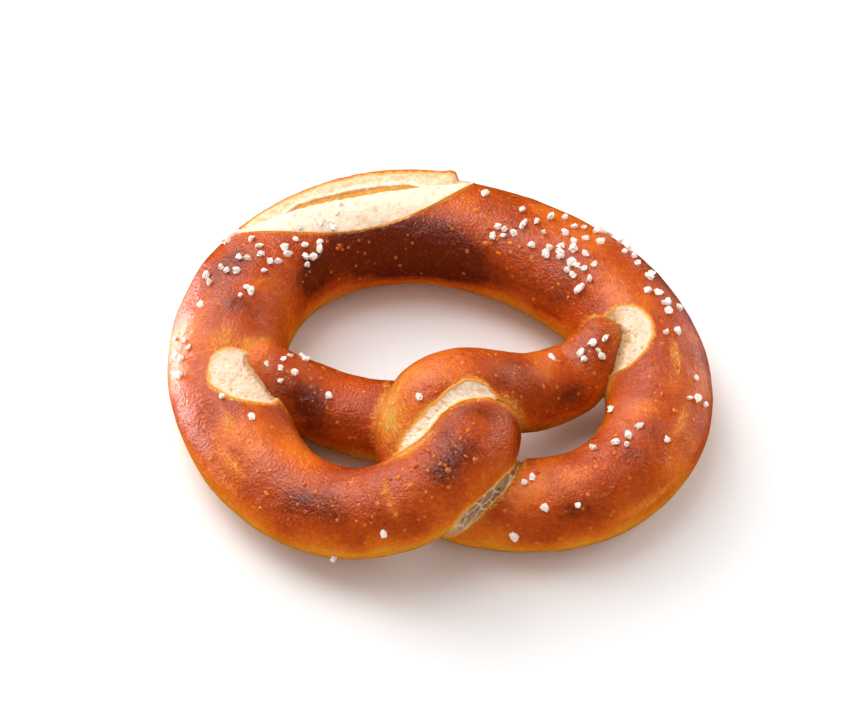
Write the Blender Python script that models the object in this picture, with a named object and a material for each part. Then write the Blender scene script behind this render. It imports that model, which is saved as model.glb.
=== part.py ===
"""A soft pretzel, baked in one piece.

One rope of dough, thick in the ring and tapered to both tips, is laid in a loop, twisted
once at the front and pressed onto the ring's shoulders. Baking fuses it wherever it meets
itself, flattens it where it rests, and bursts it open along a cut at the back.

X runs across the pretzel, Y away from the knot and Z up. The shape is worked out in
millimetres and made metres at the end.
"""
import bmesh
import bpy
import numpy as np

PRETZEL_WIDTH = 149.0        # over the ring, side to side
SECTION_FLATTENING = 0.93    # the slumped rope's height over its width
ROPE_SECTIONS = 132          # sections along the rope between its rounded ends
SPLIT_ARC = 135.0            # degrees of a section, from its outer side, that the split can cross
SPLIT_ARC_SIDES = 20         # sides of a section within that arc
PLAIN_ARC_SIDES = 14         # sides of the rest of it
SECTION_SIDES = SPLIT_ARC_SIDES + PLAIN_ARC_SIDES
TIP_LENGTH = 0.8             # a tip's rounded end, in radii of the rope where it starts
TIP_SECTIONS = 4             # sections along a rounded end
TIP_CLOSING = 0.1            # the end point past the last section, in that section's radii

SPLIT_MIDDLE = 253.5         # centre of the split, measured along the rope
SPLIT_HALF_LENGTH = 30.5
SPLIT_BACK_ANGLE = 42.0      # the lifted lip, in degrees up from the rope's outer side
SPLIT_SPREAD = 82.0          # degrees from the lifted lip to the front lip, at the middle
GROOVE_SPREAD = 43.0         # degrees from the lifted lip to the groove, at the middle
GROOVE_DEPTH = 3.0
GROOVE_WIDTH = 10.0          # degrees
FLAP_LIFT = 1.9
FLAP_WIDTH = 9.0             # degrees
CRUMB_SWELL = 0.6            # how far the burst crumb bulges past the crust

METRES_PER_MM = 0.001
CUTTER_DEPTH = 20.0

# The rope's centre line from the left tip to the right tip, as laid by hand:
# across, away from the knot, height and the rope's thickness there.
LEFT_ARM = [
    (-48.5, -8.8, 23.2, 11.0),
    (-42.5, -12.5, 17.5, 18.5),
    (-35.0, -14.5, 13.0, 21.0),
    (-18.0, -19.0, 10.0, 22.5),
    (-5.5, -20.5, 10.0, 23.0),
]
FRONT_CROSSING = [
    (5.0, -25.0, 14.0, 23.5),
    (9.0, -33.2, 22.2, 25.0),
    (4.8, -47.2, 27.8, 24.2),
    (-6.0, -55.0, 25.0, 25.0),
    (-20.0, -55.5, 18.0, 24.5),
]
RING = [
    (-39.5, -46.5, 14.0, 25.5),
    (-54.5, -25.0, 14.0, 29.5),
    (-57.5, 6.0, 14.0, 32.5),
    (-42.0, 33.5, 14.5, 32.5),
    (-11.0, 45.0, 14.5, 31.5),
    (25.0, 35.8, 14.5, 31.5),
    (52.3, 11.0, 14.0, 31.5),
    (58.0, -25.0, 14.0, 28.5),
    (40.0, -46.5, 14.0, 26.0),
]
REAR_CROSSING = [
    (15.0, -48.0, 11.5, 25.0),
    (2.0, -43.5, 11.0, 24.0),
    (-4.8, -36.5, 16.0, 23.5),
    (-5.0, -29.0, 22.5, 23.5),
    (1.0, -23.2, 26.3, 23.5),
    (9.5, -20.5, 25.0, 23.5),
]
RIGHT_ARM = [
    (21.5, -15.5, 17.5, 22.5),
    (31.0, -10.8, 14.2, 21.5),
    (37.5, -7.3, 15.2, 20.0),
    (42.0, -3.7, 19.2, 16.5),
    (44.6, 0.0, 23.0, 12.0),
]


def natural_spline(knots, values, where):
    """Values at `where` on the smoothest curve through `values` at `knots`."""
    step = np.diff(knots)
    slope = np.diff(values, axis=0) / step[:, None]
    bend_rows = np.eye(len(knots))
    bend_sums = np.zeros_like(values)
    for i in range(1, len(knots) - 1):
        bend_rows[i, i - 1:i + 2] = step[i - 1], 2.0 * (step[i - 1] + step[i]), step[i]
        bend_sums[i] = 6.0 * (slope[i] - slope[i - 1])
    bend = np.linalg.solve(bend_rows, bend_sums)
    span = np.clip(np.searchsorted(knots, where, side="right") - 1, 0, len(step) - 1)
    length = step[span, None]
    after = (where - knots[span])[:, None] / length
    before = 1.0 - after
    straight = before * values[span] + after * values[span + 1]
    curved = (before ** 3 - before) * bend[span] + (after ** 3 - after) * bend[span + 1]
    return straight + curved * length ** 2 / 6.0


def rope_sections():
    """Centres, radii, directions and distances along the rope of its sections, tip to tip."""
    route = np.array(LEFT_ARM + FRONT_CROSSING + RING + REAR_CROSSING + RIGHT_ARM)
    chords = np.linalg.norm(np.diff(route[:, :3], axis=0), axis=1)
    knots = np.concatenate([[0.0], np.cumsum(chords)])
    sections = natural_spline(knots, route, np.linspace(0.0, knots[-1], ROPE_SECTIONS))
    centres = sections[:, :3]
    radii = sections[:, 3] / 2.0
    steps = np.linalg.norm(np.diff(centres, axis=0), axis=1)
    distances = np.concatenate([[0.0], np.cumsum(steps)])
    tangents = np.gradient(centres, axis=0)
    tangents /= np.linalg.norm(tangents, axis=1, keepdims=True)

    swing = 0.5 * np.pi * np.arange(1, TIP_SECTIONS + 1) / (TIP_SECTIONS + 0.5)
    reach = TIP_LENGTH * np.sin(swing)
    left = reach[::-1] * radii[0]
    right = reach * radii[-1]
    return (
        np.concatenate([
            centres[0] - left[:, None] * tangents[0],
            centres,
            centres[-1] + right[:, None] * tangents[-1],
        ]),
        np.concatenate([radii[0] * np.cos(swing[::-1]), radii, radii[-1] * np.cos(swing)]),
        np.pad(tangents, ((TIP_SECTIONS, TIP_SECTIONS), (0, 0)), mode="edge"),
        np.concatenate([-left, distances, distances[-1] + right]),
    )


def split_relief(distance, angle):
    """Height of the burst over the plain rope: swollen crumb, its groove, the lifted flap."""
    along = (distance - SPLIT_MIDDLE) / SPLIT_HALF_LENGTH
    opening = np.sqrt(np.clip(1.0 - along ** 2, 0.0, 1.0))
    across = (angle - SPLIT_BACK_ANGLE) / np.maximum(SPLIT_SPREAD * opening, 1.0)
    inside = (across > 0.0) & (across < 1.0)
    swell = np.where(inside, CRUMB_SWELL * np.sin(np.pi * across), 0.0)
    groove_angle = SPLIT_BACK_ANGLE + GROOVE_SPREAD * opening
    groove = np.exp(-((angle - groove_angle) / GROOVE_WIDTH) ** 2)
    flap = np.exp(-((angle - SPLIT_BACK_ANGLE) / FLAP_WIDTH) ** 2)
    return opening * (swell - GROOVE_DEPTH * opening * groove + FLAP_LIFT * flap)


def rope_surface():
    """Rings of points round the rope, with one end point for each tip."""
    centres, radii, tangents, distances = rope_sections()
    outward = np.cross((0.0, 0.0, 1.0), tangents)
    outward /= np.linalg.norm(outward, axis=1, keepdims=True)
    upward = np.cross(tangents, outward)
    split_turn = np.linspace(0.0, SPLIT_ARC, SPLIT_ARC_SIDES, endpoint=False)
    plain_turn = np.linspace(SPLIT_ARC, 360.0, PLAIN_ARC_SIDES, endpoint=False)
    turn = np.concatenate([split_turn, plain_turn])
    relief = split_relief(distances[:, None], turn[None, :])
    reach = (radii[:, None] + relief)[..., None]
    across = np.cos(np.radians(turn))[None, :, None] * outward[:, None]
    up = SECTION_FLATTENING * np.sin(np.radians(turn))[None, :, None] * upward[:, None]
    rings = centres[:, None] + reach * (across + up)
    tips = centres[[0, -1]] + TIP_CLOSING * radii[[0, -1], None] * tangents[[0, -1]] * [[-1.0], [1.0]]
    return rings, tips


def rope_mesh():
    """The rope as one closed skin, scaled to its width and centred over the origin."""
    rings, tips = rope_surface()
    points = np.concatenate([rings.reshape(-1, 3), tips])
    low = points.min(axis=0)
    high = points.max(axis=0)
    points[:, :2] -= (low[:2] + high[:2]) / 2.0
    points *= METRES_PER_MM * PRETZEL_WIDTH / (high[0] - low[0])

    skin = bmesh.new()
    verts = [skin.verts.new(point) for point in points]
    left_tip, right_tip = verts[-2:]
    last = (len(rings) - 1) * SECTION_SIDES
    for side in range(SECTION_SIDES):
        following = (side + 1) % SECTION_SIDES
        for near in range(0, last, SECTION_SIDES):
            far = near + SECTION_SIDES
            corners = (near + side, far + side, far + following, near + following)
            skin.faces.new([verts[corner] for corner in corners])
        skin.faces.new((left_tip, verts[side], verts[following]))
        skin.faces.new((right_tip, verts[last + following], verts[last + side]))
    bmesh.ops.recalc_face_normals(skin, faces=skin.faces)
    mesh = bpy.data.meshes.new("pretzel")
    skin.to_mesh(mesh)
    skin.free()
    mesh.shade_smooth()
    return mesh


def crust_material():
    """Baked, lye-browned crust with a dull shine."""
    material = bpy.data.materials.new("crust")
    material.use_nodes = True
    shader = material.node_tree.nodes["Principled BSDF"]
    shader.inputs["Base Color"].default_value = (0.45, 0.15, 0.04, 1.0)
    shader.inputs["Roughness"].default_value = 0.35
    shader.inputs["Metallic"].default_value = 0.0
    return material


def add_floor_cutter(collection):
    """A slab whose top is the surface the pretzel was baked on."""
    size = METRES_PER_MM * PRETZEL_WIDTH * 1.5
    depth = METRES_PER_MM * CUTTER_DEPTH
    bpy.ops.mesh.primitive_cube_add(size=1.0, location=(0.0, 0.0, -depth / 2.0))
    cutter = bpy.context.object
    cutter.name = "baking_surface"
    cutter.scale = (size, size, depth)
    cutter.hide_render = True
    cutter.display_type = "WIRE"
    for owner in cutter.users_collection:
        owner.objects.unlink(cutter)
    collection.objects.link(cutter)
    return cutter


def add_pretzel(collection, floor_cutter):
    """The rope, fused where it meets itself and cut flat where it rests."""
    pretzel = bpy.data.objects.new("pretzel", rope_mesh())
    pretzel.data.materials.append(crust_material())
    collection.objects.link(pretzel)
    fuse = pretzel.modifiers.new("fuse_and_flatten", "BOOLEAN")
    fuse.operation = "DIFFERENCE"
    fuse.solver = "EXACT"
    fuse.use_self = True
    fuse.object = floor_cutter
    return pretzel


def main():
    for old in list(bpy.data.objects):
        bpy.data.objects.remove(old)
    parts = bpy.data.collections.new("soft_pretzel")
    cutters = bpy.data.collections.new("cutters")
    for collection in (parts, cutters):
        bpy.context.scene.collection.children.link(collection)
    add_pretzel(parts, add_floor_cutter(cutters))


main()
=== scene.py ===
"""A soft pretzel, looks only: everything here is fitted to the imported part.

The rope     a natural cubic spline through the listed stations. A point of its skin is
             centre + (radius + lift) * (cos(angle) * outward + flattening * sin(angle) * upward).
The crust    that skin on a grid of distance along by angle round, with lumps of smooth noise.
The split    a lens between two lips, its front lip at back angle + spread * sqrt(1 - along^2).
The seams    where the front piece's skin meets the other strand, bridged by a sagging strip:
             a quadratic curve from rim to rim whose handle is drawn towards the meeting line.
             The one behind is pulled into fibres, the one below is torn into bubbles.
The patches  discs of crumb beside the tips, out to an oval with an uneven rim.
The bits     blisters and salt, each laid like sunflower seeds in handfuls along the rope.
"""

import bpy
import numpy as np
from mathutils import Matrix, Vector


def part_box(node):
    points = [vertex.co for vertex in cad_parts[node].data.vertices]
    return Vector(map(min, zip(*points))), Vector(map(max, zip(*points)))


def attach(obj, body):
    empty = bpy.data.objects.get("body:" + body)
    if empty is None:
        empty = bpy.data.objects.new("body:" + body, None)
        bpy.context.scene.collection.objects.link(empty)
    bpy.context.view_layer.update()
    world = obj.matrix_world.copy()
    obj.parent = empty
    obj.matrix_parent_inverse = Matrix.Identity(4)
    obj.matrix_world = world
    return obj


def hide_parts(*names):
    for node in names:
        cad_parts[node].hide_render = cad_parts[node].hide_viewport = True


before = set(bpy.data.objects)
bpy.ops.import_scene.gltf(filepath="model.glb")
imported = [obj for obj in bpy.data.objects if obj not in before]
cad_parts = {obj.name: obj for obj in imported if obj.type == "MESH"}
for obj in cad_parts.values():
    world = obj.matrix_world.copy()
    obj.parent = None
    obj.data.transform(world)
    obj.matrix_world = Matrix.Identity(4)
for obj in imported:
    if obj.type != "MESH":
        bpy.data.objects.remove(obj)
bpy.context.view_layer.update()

# ---------------------------------------------------------------- sizes, in millimetres
FLATTENING = 0.93
TIP_LENGTH = 0.8

# The rope's centre line: across, away from the knot, height and thickness there.
LEFT_ARM = [
    (-48.5, -8.8, 23.2, 11.0),
    (-42.5, -12.5, 17.5, 18.5),
    (-35.0, -14.5, 13.0, 21.0),
    (-18.0, -19.0, 10.0, 22.5),
    (-5.5, -20.5, 10.0, 23.0),
]
FRONT_CROSSING = [
    (5.0, -25.0, 14.0, 23.5),
    (9.0, -33.2, 22.2, 25.0),
    (4.8, -47.2, 27.8, 24.2),
    (-6.0, -55.0, 25.0, 25.0),
    (-20.0, -55.5, 18.0, 24.5),
]
RING = [
    (-39.5, -46.5, 14.0, 25.5),
    (-54.5, -25.0, 14.0, 29.5),
    (-57.5, 6.0, 14.0, 32.5),
    (-42.0, 33.5, 14.5, 32.5),
    (-11.0, 45.0, 14.5, 31.5),
    (25.0, 35.8, 14.5, 31.5),
    (52.3, 11.0, 14.0, 31.5),
    (58.0, -25.0, 14.0, 28.5),
    (40.0, -46.5, 14.0, 26.0),
]
REAR_CROSSING = [
    (15.0, -48.0, 11.5, 25.0),
    (2.0, -43.5, 11.0, 24.0),
    (-4.8, -36.5, 16.0, 23.5),
    (-5.0, -29.0, 22.5, 23.5),
    (1.0, -23.2, 26.3, 23.5),
    (9.5, -20.5, 25.0, 23.5),
]
RIGHT_ARM = [
    (21.5, -15.5, 17.5, 22.5),
    (31.0, -10.8, 14.2, 21.5),
    (37.5, -7.3, 15.2, 20.0),
    (42.0, -3.7, 19.2, 16.5),
    (44.6, 0.0, 23.0, 12.0),
]

# The split at the back.
SPLIT_MIDDLE = 253.5
SPLIT_HALF = 30.5
BACK_LIP = 42.0
SPLIT_SPREAD = 82.0
FLAP_END = 280.0
FLAP_LIFT = 2.0
CRACK = (231.0, 275.0)

# Where the front piece tore from the piece behind it: distance and angle of the rim on the
# front piece, then distance and angle of the rim on the other.
SEAM_BEHIND = [
    (74.4, 62.0, 487.6, 143.0),
    (74.9, 62.0, 486.0, 131.0),
    (75.6, 74.0, 484.0, 118.0),
    (76.4, 88.0, 481.5, 110.0),
    (77.5, 103.0, 478.5, 116.0),
    (79.4, 124.0, 474.5, 119.0),
    (82.0, 140.0, 470.0, 109.0),
    (85.5, 149.0, 466.0, 90.0),
    (90.5, 153.0, 463.5, 72.0),
    (96.0, 154.0, 461.5, 60.0),
    (101.5, 155.0, 460.0, 52.0),
    (106.5, 160.0, 458.8, 45.0),
    (110.0, 172.0, 457.9, 40.0),
]
SEAM_BELOW = [
    (80.5, -16.0, 425.6, 112.0),
    (82.0, -11.0, 426.0, 96.0),
    (85.5, 1.0, 427.0, 84.0),
    (88.0, 7.0, 428.4, 72.0),
    (91.0, 11.0, 430.6, 60.0),
    (94.0, 11.0, 433.4, 42.0),
    (97.2, 7.0, 437.0, 20.0),
    (99.8, -8.0, 440.0, 0.0),
    (101.5, -28.0, 442.0, -12.0),
]

# Bare patches where a tip lay on the ring: distance, angle, mean reach, stretch, its direction.
LEFT_PATCH = (174.5, 110.0, 9.6, 1.7, -50.0)
RIGHT_PATCH = (353.5, 128.0, 10.5, 1.5, 40.0)

# Where the crust shows golden streaks, and where it is darker or lighter (negative): real
# browning on the crests, painted shade on the far wall and under the arms, painted sheen
# where it is lighter. Distance, angle, reach along and around in mm, strength.
GOLDEN_PLACES = [
    (187.0, 92.0, 6.0, 5.0, 0.5),
    (162.5, 74.0, 5.0, 2.0, 0.50),
    (154.0, 50.0, 7.0, 1.8, 0.50),
    (467.0, 52.0, 6.0, 7.0, 0.8),
    (98.5, 134.0, 10.0, 3.0, 0.7),
    (38.5, 70.0, 1.6, 9.0, 0.5),
    (107.0, 70.0, 1.2, 10.0, 0.4),
    (363.5, 74.0, 7.0, 2.0, 0.55),
    (381.0, 57.0, 6.0, 1.8, 0.50),
    (399.0, 18.0, 8.0, 1.8, 0.45),
    (308.0, 192.0, 22.0, 4.0, 0.4),
    (537.0, 100.0, 6.0, 8.0, 0.25),
]
BAKED_AND_PAINTED_LIGHT_PLACES = [
    (122.0, 48.0, 20.0, 7.5, 0.36),
    (196.0, 96.0, 7.0, 7.0, 0.30),
    # Painted shade: the far wall, darkened where it stands in shade.
    (228.0, 154.0, 14.0, 9.0, 0.60),
    (275.0, 165.0, 34.0, 12.0, 1.00),
    (15.0, 146.0, 12.0, 7.0, 0.35),
    (493.0, 135.0, 9.0, 9.0, 0.35),
    (515.0, 143.0, 9.0, 5.0, 0.35),
    (94.0, 70.0, 6.0, 5.0, 0.28),
    (508.0, 162.0, 10.0, 7.0, 0.22),
    (416.0, 40.0, 15.0, 7.0, 0.30),
    (396.0, 66.0, 12.0, 5.0, 0.15),
    (377.0, 76.0, 8.0, 5.0, 0.20),
    # Painted sheen: these lighter ovals stand in for highlights.
    (334.0, 113.0, 10.0, 8.0, -0.25),
    (144.0, 124.0, 12.0, 6.0, -0.20),
    (422.0, 88.0, 9.0, 7.0, -0.45),
    (85.0, 47.0, 6.0, 8.0, -0.25),
    (472.0, 105.0, 8.0, 6.0, -0.20),
]

# Creases pressed into the far wall: distance, angle, reach along in mm, depth in mm.
CREASES = [
    (292.5, 174.0, 7.0, 0.7),
    (323.5, 175.0, 8.0, 0.6),
    (272.0, 182.0, 6.0, 0.4),
]


# ---------------------------------------------------------------- small tools
def unit(vectors):
    return vectors / np.linalg.norm(vectors, axis=-1, keepdims=True)


def smooth(low, high, values):
    """0 below low, 1 above high, and a smooth S between them."""
    t = np.clip((values - low) / (high - low), 0.0, 1.0)
    return t * t * (3.0 - 2.0 * t)


def noise(points, size, seed):
    """Smooth noise from -1 to 1: random values on a cubic lattice, blended between corners."""
    rng = np.random.default_rng(seed)
    shuffle = np.tile(rng.permutation(256), 2)
    heights = rng.uniform(-1.0, 1.0, 256)
    spot = np.asarray(points, float) / size
    cell = np.floor(spot).astype(int)
    part = spot - cell
    part = part * part * (3.0 - 2.0 * part)
    total = np.zeros(spot.shape[:-1])
    for corner in np.ndindex(2, 2, 2):
        x, y, z = np.moveaxis((cell + corner) & 255, -1, 0)
        weight = np.prod(np.where(corner, part, 1.0 - part), axis=-1)
        total += weight * heights[shuffle[shuffle[shuffle[x] + y] + z]]
    return total


def natural_spline(knots, values, where):
    """Values at `where` on the smoothest curve through `values` at `knots`."""
    step = np.diff(knots)
    slope = np.diff(values, axis=0) / step[:, None]
    bend_rows = np.eye(len(knots))
    bend_sums = np.zeros_like(values)
    for i in range(1, len(knots) - 1):
        bend_rows[i, i - 1:i + 2] = step[i - 1], 2.0 * (step[i - 1] + step[i]), step[i]
        bend_sums[i] = 6.0 * (slope[i] - slope[i - 1])
    bend = np.linalg.solve(bend_rows, bend_sums)
    span = np.clip(np.searchsorted(knots, where, side="right") - 1, 0, len(step) - 1)
    length = step[span, None]
    after = (where - knots[span])[:, None] / length
    before = 1.0 - after
    straight = before * values[span] + after * values[span + 1]
    curved = (before ** 3 - before) * bend[span] + (after ** 3 - after) * bend[span + 1]
    return straight + curved * length ** 2 / 6.0


# ---------------------------------------------------------------- the rope
class Rope:
    """Centre, radius and directions at any distance along the rope, ends rounded."""

    def __init__(self, samples=4000, tip_samples=60):
        route = np.array(LEFT_ARM + FRONT_CROSSING + RING + REAR_CROSSING + RIGHT_ARM)
        chords = np.linalg.norm(np.diff(route[:, :3], axis=0), axis=1)
        knots = np.concatenate([[0.0], np.cumsum(chords)])
        laid = natural_spline(knots, route, np.linspace(0.0, knots[-1], samples))
        centre, radius = laid[:, :3], laid[:, 3] / 2.0
        steps = np.linalg.norm(np.diff(centre, axis=0), axis=1)
        along = np.concatenate([[0.0], np.cumsum(steps)])
        tangent = unit(np.gradient(centre, axis=0))
        self.length = along[-1]
        self.reach = TIP_LENGTH * radius[[0, -1]]
        swing = 0.5 * np.pi * np.arange(1, tip_samples + 1) / tip_samples
        left, right = self.reach[0] * np.sin(swing[::-1]), self.reach[1] * np.sin(swing)
        self.along = np.concatenate([-left, along, self.length + right])
        self.centre = np.concatenate([
            centre[0] - left[:, None] * tangent[0],
            centre,
            centre[-1] + right[:, None] * tangent[-1],
        ])
        self.radius = np.concatenate(
            [radius[0] * np.cos(swing[::-1]), radius, radius[-1] * np.cos(swing)])
        self.tangent = np.pad(tangent, ((tip_samples, tip_samples), (0, 0)), mode="edge")
        self.outward = unit(np.cross((0.0, 0.0, 1.0), self.tangent))
        self.upward = np.cross(self.tangent, self.outward)

    def pick(self, column, distance):
        return np.stack([np.interp(distance, self.along, c) for c in column.T], -1)

    def size(self, distance):
        return np.interp(distance, self.along, self.radius)

    def across(self, distance, angle):
        """The direction from the centre line to the skin, not of unit length."""
        turn = np.radians(angle)[..., None]
        outward = self.pick(self.outward, distance)
        upward = self.pick(self.upward, distance)
        return np.cos(turn) * outward + FLATTENING * np.sin(turn) * upward

    def facing(self, distance, angle):
        """The skin's outward direction."""
        turn = np.radians(angle)[..., None]
        outward = self.pick(self.outward, distance)
        upward = self.pick(self.upward, distance)
        return unit(FLATTENING * np.cos(turn) * outward + np.sin(turn) * upward)

    def skin(self, distance, angle, lift=0.0):
        distance, angle, lift = np.broadcast_arrays(distance, angle, lift)
        reach = (self.size(distance) + lift)[..., None]
        return self.pick(self.centre, distance) + reach * self.across(distance, angle)

    def depth(self, points, first, last, spacing=1.0):
        """How far points are outside the strand between two distances, and where on it."""
        where = np.arange(first, last, spacing)
        centre = self.pick(self.centre, where)
        gap = np.linalg.norm(points[..., None, :] - centre, axis=-1) - self.size(where)
        near = where[np.argmin(gap, axis=-1)]
        for _ in range(2):
            slack = points - self.pick(self.centre, near)
            near = near + np.sum(slack * self.pick(self.tangent, near), axis=-1)
            near = np.clip(near, first, last)
        slack = points - self.pick(self.centre, near)
        out = np.sum(slack * self.pick(self.outward, near), axis=-1)
        up = np.sum(slack * self.pick(self.upward, near), axis=-1) / FLATTENING
        ahead = np.sum(slack * self.pick(self.tangent, near), axis=-1)
        side = np.sqrt(out ** 2 + up ** 2 + ahead ** 2)
        return side - self.size(near), near, np.degrees(np.arctan2(up, out))


rope = Rope()
low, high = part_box("pretzel")
outline = rope.skin(np.linspace(0.0, rope.length, 1200)[:, None], np.arange(0.0, 360.0, 2.0))
outline = outline.reshape(-1, 3)
middle = (outline.min(axis=0) + outline.max(axis=0)) / 2.0
MM = (high.x - low.x) / (outline[:, 0].max() - outline[:, 0].min())


def placed(points):
    """Millimetres of the rope to metres of the frame, never below the baking surface."""
    moved = (points - (middle[0], middle[1], 0.0)) * MM
    moved += ((low.x + high.x) / 2.0, (low.y + high.y) / 2.0, low.z)
    moved[..., 2] = np.maximum(moved[..., 2], low.z)
    return moved


# ---------------------------------------------------------------- meshes
def add_grid(name, points, uv, fields, material, closed=False, tips=None):
    """A grid of points as a smooth piece; closed joins its last column to its first."""
    rows, columns = points.shape[:2]
    count = rows * columns
    index = np.arange(count).reshape(rows, columns)
    if closed:
        index = np.concatenate([index, index[:, :1]], axis=1)
    quads = np.stack([index[:-1, :-1], index[:-1, 1:], index[1:, 1:], index[1:, :-1]], -1)
    corners = np.stack([uv[:-1, :-1], uv[:-1, 1:], uv[1:, 1:], uv[1:, :-1]], -2)
    faces = quads.reshape(-1, 4).tolist()
    loops = [corners.reshape(-1, 2)]
    spots = [points.reshape(-1, 3)]
    if tips is not None:
        spots.append(tips)
        for end, row, edge in ((count, index[0], uv[0]), (count + 1, index[-1], uv[-1])):
            fan = [np.full(len(row) - 1, end), row[1:], row[:-1]]
            fan_uv = [(edge[1:] + edge[:-1]) / 2.0, edge[1:], edge[:-1]]
            if end == count + 1:
                fan, fan_uv = fan[::-1], fan_uv[::-1]
            faces += np.stack(fan, -1).tolist()
            loops.append(np.stack(fan_uv, 1).reshape(-1, 2))
        fields = {k: np.concatenate([v.ravel(), v[[0, -1], 0]]) for k, v in fields.items()}
    mesh = bpy.data.meshes.new(name)
    mesh.from_pydata(placed(np.concatenate(spots)), [], faces)
    mesh.uv_layers.new(name="rope").data.foreach_set("uv", np.concatenate(loops).ravel())
    return finish_piece(name, mesh, fields, material)


def finish_piece(name, mesh, fields, material, flat=False):
    for key, values in fields.items():
        layer = mesh.attributes.new(key, "FLOAT", "POINT")
        layer.data.foreach_set("value", np.ravel(values).astype(np.float32))
    mesh.polygons.foreach_set("use_smooth", np.full(len(mesh.polygons), not flat))
    mesh.materials.append(material)
    mesh.update()
    piece = bpy.data.objects.new(name, mesh)
    bpy.context.scene.collection.objects.link(piece)
    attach(piece, "root")
    return piece


# ---------------------------------------------------------------- shader parts
class Nodes:
    """A node tree built line by line."""

    def __init__(self, tree):
        self.tree = tree

    def node(self, kind, inputs=(), **settings):
        made = self.tree.nodes.new(kind)
        for key, value in settings.items():
            setattr(made, key, value)
        for key, value in dict(inputs).items():
            self.feed(made.inputs[key], value)
        return made

    def feed(self, socket, value):
        if isinstance(value, bpy.types.NodeSocket):
            self.tree.links.new(value, socket)
        else:
            socket.default_value = value

    def place(self):
        return self.node("ShaderNodeTexCoord").outputs["Object"]

    def field(self, name):
        return self.node("ShaderNodeAttribute", attribute_name=name).outputs["Fac"]

    def effect(self, group, **inputs):
        made = self.node("ShaderNodeGroup", node_tree=group)
        for key, value in inputs.items():
            self.feed(made.inputs[key], value)
        return made.outputs[0]

    def math(self, operation, a, b=0.0):
        return self.node("ShaderNodeMath", {0: a, 1: b}, operation=operation).outputs[0]

    def total(self, *parts):
        """The sum of (value, weight) pairs."""
        result = self.math("MULTIPLY", *parts[0])
        for value, weight in parts[1:]:
            result = self.math("ADD", result, self.math("MULTIPLY", value, weight))
        return result

    def span(self, value, low, high, out_low=0.0, out_high=1.0):
        made = self.node("ShaderNodeMapRange", {
            "Value": value, "From Min": low, "From Max": high,
            "To Min": out_low, "To Max": out_high}, interpolation_type="SMOOTHSTEP")
        return made.outputs["Result"]

    def mix(self, factor, a, b):
        made = self.node("ShaderNodeMix", data_type="RGBA")
        self.feed(made.inputs[0], factor)
        self.feed(made.inputs[6], a)
        self.feed(made.inputs[7], b)
        return made.outputs[2]

    def stretch(self, vector, scale):
        return self.node("ShaderNodeMapping", {"Vector": vector, "Scale": scale}).outputs["Vector"]

    def grain(self, vector, scale, detail=3.0, roughness=0.5, distortion=0.0):
        made = self.node("ShaderNodeTexNoise", {
            "Vector": vector, "Scale": scale, "Detail": detail, "Roughness": roughness,
            "Distortion": distortion})
        return made.outputs["Fac"]

    def bump(self, height):
        """A normal from a height in millimetres."""
        made = self.node("ShaderNodeBump", {"Height": height, "Distance": 0.001})
        return made.outputs["Normal"]


def new_effect(name, output, **inputs):
    """A shader node group: a vector named Place, numbers with their usual values, one output."""
    tree = bpy.data.node_groups.new(name, "ShaderNodeTree")
    tree.interface.new_socket("Place", in_out="INPUT", socket_type="NodeSocketVector")
    for label, value in inputs.items():
        socket = tree.interface.new_socket(label, in_out="INPUT", socket_type="NodeSocketFloat")
        socket.default_value = value
    tree.interface.new_socket(output, in_out="OUTPUT", socket_type="NodeSocketFloat")
    taken = tree.nodes.new("NodeGroupInput").outputs
    given = tree.nodes.new("NodeGroupOutput").inputs
    return Nodes(tree), taken, given


def mottle_effect():
    """Cloudy unevenness about zero: a coarse and a fine noise, added."""
    n, taken, given = new_effect("mottle", "Mottle", Coarse=110.0, Fine=700.0, Amount=1.0)
    coarse = n.grain(taken["Place"], taken["Coarse"], 4.0, 0.6)
    fine = n.grain(taken["Place"], taken["Fine"], 3.0, 0.65)
    both = n.math("SUBTRACT", n.math("ADD", coarse, fine), 1.0)
    n.feed(given["Mottle"], n.math("MULTIPLY", both, taken["Amount"]))
    return n.tree


def pimple_effect():
    """Fine relief in millimetres: small bumps with still smaller ones on them."""
    n, taken, given = new_effect("pimples", "Height", Scale=1000.0, Rise=0.1)
    small = n.grain(taken["Place"], taken["Scale"], 2.0)
    smaller = n.grain(taken["Place"], n.math("MULTIPLY", taken["Scale"], 2.5), 1.0)
    both = n.total((small, 1.0), (smaller, 0.35))
    n.feed(given["Height"], n.math("MULTIPLY", both, taken["Rise"]))
    return n.tree


def new_look(name):
    material = bpy.data.materials.new(name)
    material.use_nodes = True
    return material, Nodes(material.node_tree), material.node_tree.nodes["Principled BSDF"].inputs


def colour(red, green, blue):
    """A colour as it is seen, 0 to 255, made linear."""
    seen = np.array([red, green, blue]) / 255.0
    linear = np.where(seen <= 0.04045, seen / 12.92, ((seen + 0.055) / 1.055) ** 2.4)
    return (*linear, 1.0)


mottle = mottle_effect()
pimples = pimple_effect()


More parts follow.
